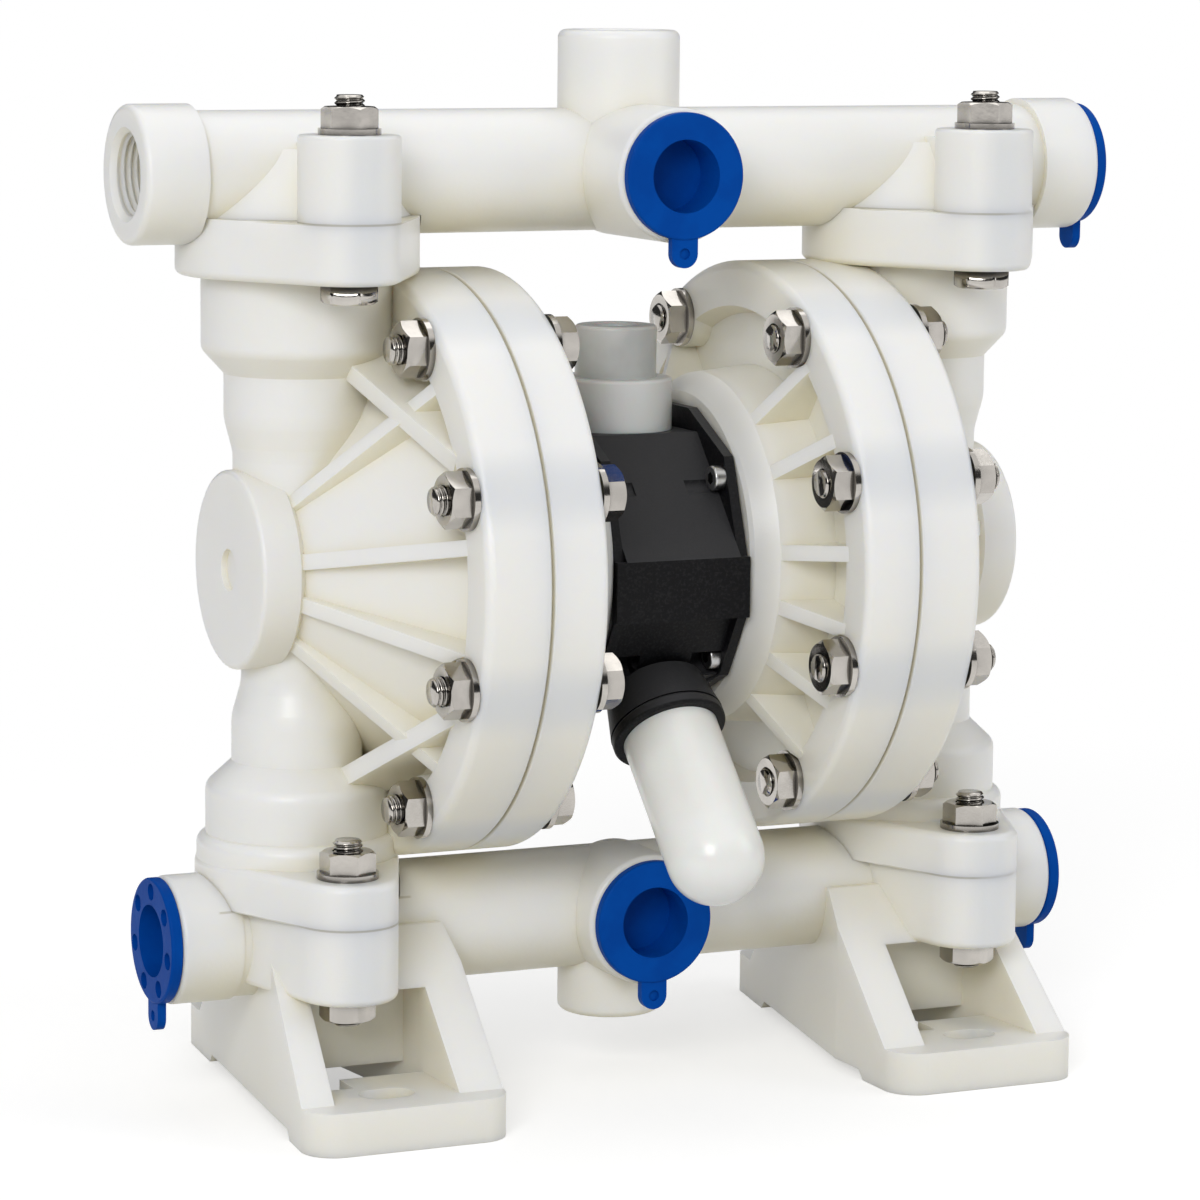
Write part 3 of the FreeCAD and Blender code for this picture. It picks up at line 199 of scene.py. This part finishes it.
class NodeTree:
    """Nodes and links of one material or of the world."""

    def __init__(self, tree):
        self.nodes, self.links = tree.nodes, tree.links

    def node(self, kind, settings=None, inputs=None, output=0):
        """Add a node: its settings first, then the values or links of its sockets."""
        node = self.nodes.new(kind)
        for key, value in (settings or {}).items():
            setattr(node, key, value)
        for key, value in (inputs or {}).items():
            self.feed(node.inputs[key], value)
        return Value(self, node.outputs[output])

    def feed(self, socket, value):
        if isinstance(value, Value):
            self.links.new(value.socket, socket)
        else:
            socket.default_value = value

    def place(self):
        """The point's place on the object."""
        return self.node("ShaderNodeTexCoord", output="Object")

    def coordinates(self, vector):
        """The three numbers of a vector."""
        first = self.node("ShaderNodeSeparateXYZ", inputs={"Vector": vector})
        return [Value(self, socket) for socket in first.socket.node.outputs]

    def facing_up(self):
        """The upward part of the surface's normal, from -1 to 1."""
        normal = self.node("ShaderNodeNewGeometry", output="Normal")
        return self.coordinates(normal)[2]

    def open_sky(self, distance):
        """1 on open surfaces, less in corners up to that distance across."""
        inputs = {"Distance": distance}
        return self.node("ShaderNodeAmbientOcclusion", {"samples": 6}, inputs, output="AO")

    def is_ray(self, *kinds):
        """1 for rays of any of the kinds named."""
        found = None
        for kind in kinds:
            ray = self.node("ShaderNodeLightPath", output="Is " + kind + " Ray")
            found = ray if found is None else found.larger(ray)
        return found

    def noise(self, where, scale, detail=2.0, roughness=0.5):
        return self.node("ShaderNodeTexNoise", inputs={
            "Vector": where, "Scale": scale, "Detail": detail, "Roughness": roughness})

    def blend(self, mask, color_0, color_1):
        """A colour between two, by a mask."""
        settings = {"data_type": "RGBA"}
        return self.node("ShaderNodeMix", settings, {0: mask, 6: color_0, 7: color_1}, output=2)


class Finish(NodeTree):
    """One material."""

    def __init__(self, name, color, roughness, metallic=0.0, **constants):
        self.material = bpy.data.materials.new(name)
        self.material.use_nodes = True
        super().__init__(self.material.node_tree)
        self.shader = self.nodes["Principled BSDF"]
        self.material.diffuse_color = rgb(*color)
        self.shader.inputs["Base Color"].default_value = rgb(*color)
        self.shader.inputs["Roughness"].default_value = roughness
        self.shader.inputs["Metallic"].default_value = metallic
        for key, value in constants.items():
            self.shader.inputs[key.replace("_", " ")].default_value = value

    def paint(self, color):
        self.feed(self.shader.inputs["Base Color"], color)

    def gloss(self, roughness):
        self.feed(self.shader.inputs["Roughness"], roughness)

    def mottle(self, where, scale, color_0, color_1):
        """Paint soft patches of two colours, and return the patches' noise."""
        cloud = self.noise(where, scale, 3.0)
        self.paint(self.blend(cloud.fade(0.65, 0.35), color_0, color_1))
        return cloud

    def emboss(self, height, distance, strength=1.0):
        bump = self.node("ShaderNodeBump", inputs={
            "Height": height, "Distance": distance, "Strength": strength})
        self.feed(self.shader.inputs["Normal"], bump)


def distance_to(across, up, centre_across, centre_up):
    """The distance in a plane from a centre."""
    a = across - centre_across
    b = up - centre_up
    return (a * a + b * b).power(0.5)


def bolt_shade(depth, height):
    """Painted shade: 1 at the cover studs, whose steel darkens the translucent plastic over them,
    fading out around them.
    """
    shade = None
    for angle in BOLT_ANGLES:
        a = math.radians(angle)
        gap = distance_to(depth, height, BOLT_CIRCLE_R * math.cos(a), BOLT_CIRCLE_R * math.sin(a))
        near = gap.fade(0.0075, 0.0145)
        shade = near if shade is None else shade.larger(near)
    return shade


def white_plastic():
    """Natural polypropylene.

    It is near white where light reaches it, with painted ochre shade in recesses and where it
    faces down, painted bluish shade where steel lies under it, painted grey shade beside the
    block, and olive along the joints.
    """
    finish = Finish("natural_polypropylene", (0.88, 0.87, 0.83), 0.34,
                    Subsurface_Weight=0.5, Subsurface_Scale=0.009, IOR=1.49)
    finish.shader.inputs["Subsurface Radius"].default_value = (1.0, 0.88, 0.62)
    where = finish.place()
    x, y, z = finish.coordinates(where)
    cloud = finish.noise(where, 22.0, 3.0)
    # Painted shade: ochre in corners, from ambient occlusion, and where the surface faces down,
    # varied by a random cloud
    down = finish.facing_up().fade(-0.9, 0.3)
    corner = finish.open_sky(0.045).fade(0.25, 0.90)
    painted_ochre_shade = (corner * 0.60 + down * 0.55 + (cloud - 0.5) * 0.3).smaller(1.0)
    color = finish.blend(painted_ochre_shade, rgb(0.895, 0.892, 0.875), rgb(0.835, 0.79, 0.635))
    across, depth, height = x.size(), y.size(), (z - AXIS_Z).size()
    from_neck = (across - NECK_X).size()
    radius = distance_to(y, z, 0.0, AXIS_Z)
    rim = radius.fade(COVER_R - 0.001, COVER_R - 0.005) * across.fade(0.0740, 0.0780)
    ear_gap = distance_to(across, depth, NECK_X, EAR_Y)
    beside_neck = from_neck.fade(0.0015, 0.0095) * height.fade(0.0775, 0.0765)
    ear_shade = ear_gap.fade(0.0135, 0.0160) * beside_neck
    # Painted shade: bluish grey where the steel studs and bolts lie under the translucent plastic
    painted_steel_shade = (bolt_shade(depth, height) * rim * 0.65).larger(ear_shade * 0.7)
    color = finish.blend(painted_steel_shade, color, rgb(0.71, 0.73, 0.75))
    # Painted shade and dark reflection: grey on the cone beside the black block
    painted_block_shade = across.fade(0.0215, 0.0300) * radius.fade(0.060, 0.062)
    color = finish.blend(painted_block_shade * 0.6, color, rgb(0.50, 0.50, 0.49))
    rim_edge = radius.fade(COVER_R - 0.001, COVER_R - 0.002)
    rim_edge = rim_edge * radius.fade(COVER_R + 0.0015, COVER_R + 0.0025)
    seam = (across - PARTING_X).size().fade(0.0002, 0.0007) * rim_edge
    upper = (z - UPPER_JOINT_Z).size().fade(0.00015, 0.0004)
    lower = (z - LOWER_JOINT_Z).size().fade(0.00015, 0.0004)
    plates = upper.larger(lower) * cloud.fade(0.55, 0.40) * from_neck.fade(0.0270, 0.0280)
    color = finish.blend(seam.larger(plates * 0.6) * 0.75, color, rgb(0.40, 0.35, 0.20))
    finish.paint(color)
    finish.gloss(0.30 + 0.10 * finish.noise(where, 140.0, 3.0))
    orange_peel = finish.noise(where, 900.0)
    finish.emboss(orange_peel * 0.6 + cloud * 1.5, 0.00004)
    return finish


def black_block():
    """Fine grained glass filled plastic, dull black, with a painted sheen that greys it where it
    faces up.
    """
    finish = Finish("black_filled_plastic", (0.010, 0.010, 0.011), 0.50, Specular_IOR_Level=0.18)
    where = finish.place()
    grain = finish.noise(where, 1500.0, 3.0, 0.6)
    cloud = finish.noise(where, 60.0, 3.0)
    # Painted sheen: greyer where the block faces up
    painted_top_sheen = finish.facing_up().fade(0.75, 0.15)
    dark, pale = rgb(0.003, 0.003, 0.004), rgb(0.012, 0.012, 0.013)
    grained = finish.blend(grain.fade(0.70, 0.45), dark, pale)
    finish.paint(finish.blend(painted_top_sheen * 0.8, grained, rgb(0.045, 0.045, 0.048)))
    finish.gloss(0.42 + 0.12 * cloud)
    finish.emboss(grain, 0.00008, 0.7)
    return finish


def bright_steel(name, color, roughness):
    """Stainless hardware with fine turning marks, and painted shade that darkens its threads and
    corners.
    """
    finish = Finish(name, color, roughness, 1.0)
    where = finish.place()
    marks = finish.noise(where, 900.0)
    smears = finish.noise(where, 120.0, 3.0)
    clean = finish.blend(smears.fade(0.7, 0.3), rgb(*color), darker(color, 0.82))
    # Painted shade: darker in threads and corners, from ambient occlusion
    corner = finish.open_sky(0.0035).fade(0.40, 0.90)
    finish.paint(finish.blend(corner, clean, darker(color, 0.15)))
    finish.gloss(roughness - 0.05 + 0.12 * smears)
    finish.emboss(marks, 0.00002, 0.5)
    return finish


def blue_plug():
    finish = Finish("blue_polyethylene", (0.001, 0.050, 0.30), 0.42, Specular_IOR_Level=0.03)
    where = finish.place()
    cloud = finish.mottle(where, 90.0, rgb(0.001, 0.066, 0.36), rgb(0.001, 0.056, 0.32))
    finish.gloss(0.36 + 0.12 * cloud)
    finish.emboss(finish.noise(where, 700.0), 0.00004)
    return finish


def adapter_plastic():
    """Greyer, more see-through plastic of the air inlet."""
    finish = Finish("grey_natural_plastic", (0.70, 0.71, 0.68), 0.30,
                    Subsurface_Weight=0.3, Subsurface_Scale=0.005)
    where = finish.place()
    cloud = finish.noise(where, 60.0, 3.0)
    tier = finish.coordinates(where)[2].fade(ADAPTER_STEP_Z - 0.0007, ADAPTER_STEP_Z + 0.0007)
    upper = finish.blend(cloud.fade(0.65, 0.35), rgb(0.54, 0.55, 0.54), rgb(0.44, 0.45, 0.44))
    finish.paint(finish.blend(tier, upper, rgb(0.68, 0.69, 0.68)))
    finish.gloss(0.26 + 0.12 * cloud)
    finish.emboss(finish.noise(where, 800.0), 0.00004)
    return finish


def muffler_plastic():
    finish = Finish("white_porous_plastic", (0.90, 0.895, 0.87), 0.24,
                    Subsurface_Weight=0.2, Subsurface_Scale=0.004)
    where = finish.place()
    cloud = finish.mottle(where, 40.0, rgb(0.91, 0.905, 0.885), rgb(0.88, 0.87, 0.84))
    finish.gloss(0.20 + 0.10 * cloud)
    finish.emboss(finish.noise(where, 1200.0), 0.00002)
    return finish


def plain_finish(name, color, roughness, metallic=0.0, grain=900.0):
    """Inner parts: a soft mottle and a fine grain."""
    finish = Finish(name, color, roughness, metallic)
    where = finish.place()
    cloud = finish.mottle(where, 80.0, rgb(*color), darker(color, 0.8))
    finish.gloss(roughness - 0.05 + 0.1 * cloud)
    finish.emboss(finish.noise(where, grain), 0.00004)
    return finish


def studio_floor():
    """White floor that keeps the shadow near the pump and is plain white further off."""
    finish = Finish("studio_floor", (0.68, 0.68, 0.68), 0.9, Specular_IOR_Level=0.0)
    x, y = finish.coordinates(finish.place())[:2]
    seen = finish.is_ray("Camera", "Glossy", "Transmission")
    finish.shader.inputs["Emission Strength"].default_value = 1.0
    finish.feed(finish.shader.inputs["Emission Color"], seen * FLOOR_GLOW)
    white = finish.node("ShaderNodeEmission", inputs={"Color": rgb(1, 1, 1), "Strength": 1.0})
    far = distance_to(x, y, 0.0, 0.0).fade(0.62, 0.25)
    surface = Value(finish, finish.shader.outputs[0])
    mixed = finish.node("ShaderNodeMixShader", inputs={0: far * seen, 1: surface, 2: white})
    finish.feed(finish.nodes["Material Output"].inputs["Surface"], mixed)
    return finish


def light_the_world():
    """A white surround.

    The camera sees it full white. It lights the pump at its level, and in reflections it is darker
    near the horizon, as in a room with a bright ceiling.
    """
    world = bpy.data.worlds.new("studio")
    bpy.context.scene.world = world
    world.use_nodes = True
    tree = NodeTree(world.node_tree)
    background = tree.nodes["Background"]
    background.inputs["Strength"].default_value = 1.0
    direction = tree.node("ShaderNodeTexCoord", output="Generated")
    height = tree.coordinates(direction)[2]
    ceiling = DUSK_LEVEL + (1.0 - DUSK_LEVEL) * height.fade(0.75, 0.40)
    glossy = tree.is_ray("Glossy")
    camera = tree.is_ray("Camera", "Transmission")
    brightness = camera.larger(glossy * ceiling).larger((1.0 - glossy) * SURROUND_LEVEL)
    tree.feed(background.inputs["Color"], brightness)


# ---------------------------------------------------------------- surfaces


def make_piece(name, verts, faces, finish, body="pump", stands_for=()):
    """A mesh object from arrays of corners and quads, with its finish and body."""
    mesh = bpy.data.meshes.new(name)
    mesh.from_pydata(verts.reshape(-1, 3).tolist(), [], faces.tolist())
    mesh.validate()
    mesh.shade_smooth()
    piece = bpy.data.objects.new(name, mesh)
    bpy.context.scene.collection.objects.link(piece)
    piece.data.materials.append(finish.material)
    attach(piece, body)
    if stands_for:
        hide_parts(*stands_for)


def grid_faces(rows, columns, close_rows=False):
    """Quads of a grid whose columns wrap round, and whose rows do too if asked."""
    last = rows if close_rows else rows - 1
    r = np.arange(last)[:, None]
    c = np.arange(columns)[None, :]
    r_next = (r + 1) % rows
    c_next = (c + 1) % columns
    this_row, next_row = r * columns, r_next * columns
    corners = [this_row + c, this_row + c_next, next_row + c_next, next_row + c]
    return np.stack(corners, -1).reshape(-1, 4)


def side_vectors(axis):
    """Two unit vectors across an axis, right handed with it."""
    axis = np.asarray(axis, float)
    first = np.cross(axis, (0.0, 0.0, 1.0)) if abs(axis[2]) < 0.5 else np.array((1.0, 0.0, 0.0))
    first = first / np.linalg.norm(first)
    return first, np.cross(axis, first)


def around(origin, axis, radius, along, angles):
    """Points at the distances along an axis, the radii from it and the angles round it."""
    first, second = side_vectors(axis)
    ring = np.cos(angles)[:, None] * first + np.sin(angles)[:, None] * second
    centres = np.asarray(origin) + along[..., None] * np.asarray(axis, float)
    return centres + radius[..., None] * ring


def threaded_bar(start, axis, length, thread_start, thread_end, columns=28):
    """A stud with cut threads near both tips.

    At a distance s along the bar and an angle a round it the radius is the nominal one less the
    thread depth times a triangle wave of (s / pitch - a / full turn) with blunt crests and roots.
    A 45 degree chamfer limits it at both tips, and the end rows shrink to the axis.
    """
    step = THREAD_PITCH / 8
    head = np.arange(0.0, thread_start, step)
    tail = length - np.arange(0.0, thread_end, step)[::-1]
    s = np.concatenate([[0.0], head, tail, [length]])
    angles = np.arange(columns) * 2 * math.pi / columns
    turn = s[:, None] / THREAD_PITCH - angles[None, :] / (2 * math.pi)
    wave = np.abs((turn % 1.0) * 2 - 1)
    cut = THREAD_DEPTH * np.clip(wave * 1.25 - 0.125, 0, 1)
    in_thread = (s < thread_start) | (s > length - thread_end)
    radius = BOLT_R - cut * in_thread[:, None]
    chamfer = BOLT_R - BOLT_CHAMFER + np.minimum(s, length - s)
    radius = np.minimum(radius, chamfer[:, None])
    radius[0] = 0.0
    radius[-1] = 0.0
    along = np.repeat(s[:, None], columns, 1)
    return around(start, axis, radius, along, angles), grid_faces(len(s), columns)


def hexagon_head(start, axis, flats, height, columns=72):
    """A hexagon head.

    The radius is half the width across flats over the cosine of the angle from the nearest flat,
    cut by a cone at the free end; the end rows shrink to the axis.
    """
    angles = np.arange(columns) * 2 * math.pi / columns
    sector = math.pi / 3
    off_flat = (angles + sector / 2) % sector - sector / 2
    hexagon = flats / 2 / np.cos(off_flat)
    corner = flats / math.sqrt(3)
    inner = corner - HEAD_CHAMFER_W
    drop = HEAD_CHAMFER_H * np.clip((hexagon - inner) / (corner - inner), 0, 1)
    zero = np.zeros(columns)
    radius = np.stack([zero, hexagon, hexagon, np.minimum(hexagon, inner), zero])
    along = np.stack([zero, zero, height - drop, zero + height, zero + height])
    return around(start, axis, radius, along, angles), grid_faces(5, columns)


def gather(parts):
    """Join several grids into one set of corners and quads."""
    verts, faces, count = [], [], 0
    for points, quads in parts:
        points = points.reshape(-1, 3)
        verts.append(points)
        faces.append(quads + count)
        count += len(points)
    return np.concatenate(verts), np.concatenate(faces)


def cover_stud_places():
    """Y and Z of the eight studs of a chamber."""
    places = []
    for angle in BOLT_ANGLES:
        a = math.radians(angle)
        for side_y in (-1, 1):
            for side_z in (-1, 1):
                y, z = side_y * math.cos(a), side_z * math.sin(a)
                places.append((BOLT_CIRCLE_R * y, AXIS_Z + BOLT_CIRCLE_R * z))
    return places


def add_cover_studs(finish):
    length = STUD_OUTER_X - STUD_INNER_X
    parts = []
    for y, z in cover_stud_places():
        for side in (-1, 1):
            start = (side * STUD_INNER_X, y, z)
            parts.append(threaded_bar(start, (side, 0, 0), length,
                                      COVER_STUD_BACK_THREAD, NUT_END_THREAD))
    verts, faces = gather(parts)
    make_piece("threaded_cover_studs", verts, faces, finish,
               stands_for=["cover_studs"])


def add_neck_bolts(finish):
    """Bolts of the upper ears and studs of the lower ears."""
    bolts, studs = [], []
    up, down = (0, 0, 1), (0, 0, -1)
    shank_z = BOLT_SEAT_Z - MM
    for x in (-NECK_X, NECK_X):
        for y, top in ((-EAR_Y, FRONT_BOLT_TOP_Z), (EAR_Y, REAR_BOLT_TOP_Z)):
            bolts.append(hexagon_head((x, y, BOLT_SEAT_Z), down, HEAD_FLATS, HEAD_H))
            bolts.append(threaded_bar((x, y, shank_z), up, top - shank_z, 0.0, NUT_END_THREAD))
            studs.append(threaded_bar((x, y, EAR_STUD_Z), up, EAR_STUD_L,
                                      EAR_STUD_BACK_THREAD, NUT_END_THREAD))
    verts, faces = gather(bolts)
    make_piece("threaded_outlet_bolts", verts, faces, finish,
               stands_for=["outlet_bolts"])
    verts, faces = gather(studs)
    make_piece("threaded_inlet_studs", verts, faces, finish,
               stands_for=["inlet_studs"])


def internal_thread(name, mouth, axis, finish, slot, wall_r, depth, pitch, length, columns=64):
    """A helical ridge inside a bore, a closed band.

    The inner side's radius is the wall's less the depth times a triangle wave of
    (distance / pitch - angle / full turn), faded out at both ends.
    The outer side lies in the wall.
    """
    rows = int(length / pitch * 10)
    s = np.linspace(0, length, rows)
    angles = np.arange(columns) * 2 * math.pi / columns
    turn = s[:, None] / pitch - angles[None, :] / (2 * math.pi)
    wave = np.abs((turn % 1.0) * 2 - 1)
    ends = np.clip(np.minimum(s, length - s) / (0.8 * pitch), 0, 1)
    inner = wall_r + RIDGE_ROOT_IN_WALL - depth * wave * ends[:, None]
    outer = np.full((2, columns), wall_r + RIDGE_BACK_IN_WALL)
    radius = np.concatenate([inner, outer])
    along = -np.concatenate([s, [length, 0.0]])
    along = np.repeat(along[:, None], columns, 1)
    points = around(mouth, axis, radius, along, angles)
    faces = grid_faces(rows + 2, columns, close_rows=True)
    make_piece(name, points, faces, finish)


def add_port_threads(plastic, adapter):
    left = (-0.1398, 0.0, OUTLET_Z)
    top = (0.0, 0.0, 0.2861)
    air = (0.0, 0.0, 0.2070)
    up, out = (0, 0, 1), (-1, 0, 0)
    internal_thread("outlet_left_thread", left, out, plastic, "polypropylene", **PORT_THREAD)
    internal_thread("outlet_top_thread", top, up, plastic, "polypropylene", **PORT_THREAD)
    internal_thread("air_inlet_thread", air, up, adapter, "adapter_plastic", **AIR_THREAD)


# ---------------------------------------------------------------- the pump

plastic = white_plastic()
steel = bright_steel("stainless_hardware", (0.56, 0.53, 0.49), 0.12)
adapter = adapter_plastic()
rubber = plain_finish("black_rubber", (0.03, 0.03, 0.03), 0.6)
finishes = {
    "polypropylene": plastic,
    "valve_block": black_block(),
    "gasket_rubber": rubber,
    "diaphragm_rubber": plain_finish("olive_rubber", (0.10, 0.10, 0.075), 0.6),
    "steel_bright": steel,
    "screw_steel": bright_steel("turned_steel", (0.60, 0.60, 0.60), 0.28),
    "clamp_plate": plain_finish("cast_plate", (0.75, 0.75, 0.75), 0.4, 1.0, 500.0),
    "bush_plastic": plain_finish("bush_plastic", (0.72, 0.70, 0.62), 0.45),
    "seal_rubber": rubber,
    "valve_metal": plain_finish("anodised_valve", (0.66, 0.66, 0.66), 0.35, 1.0),
    "adapter_plastic": adapter,
    "muffler_plastic": muffler_plastic(),
    "seat_plastic": plain_finish("seat_plastic", (0.86, 0.85, 0.80), 0.4),
    "ball_plastic": plain_finish("ball_plastic", (0.92, 0.91, 0.88), 0.3),
    "plug_blue": blue_plug(),
}


def dress_nodes():
    """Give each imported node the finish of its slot."""
    for part in frame["record"]["subparts"]:
        node = frame["nodes"][part["node"]]
        node.data.materials.clear()
        node.data.materials.append(finishes[part["material_slot"]].material)


def add_floor():
    bpy.ops.mesh.primitive_plane_add(size=40.0, location=(0, 0, 0))
    floor = bpy.context.object
    floor.name = "studio_floor"
    floor.data.materials.append(studio_floor().material)


dress_nodes()
add_cover_studs(steel)
add_neck_bolts(steel)
add_port_threads(plastic, adapter)

add_camera()
add_floor()
light_the_world()
for lamp in LAMPS:
    add_softbox(*lamp)

bpy.context.scene.view_settings.view_transform = "Standard"
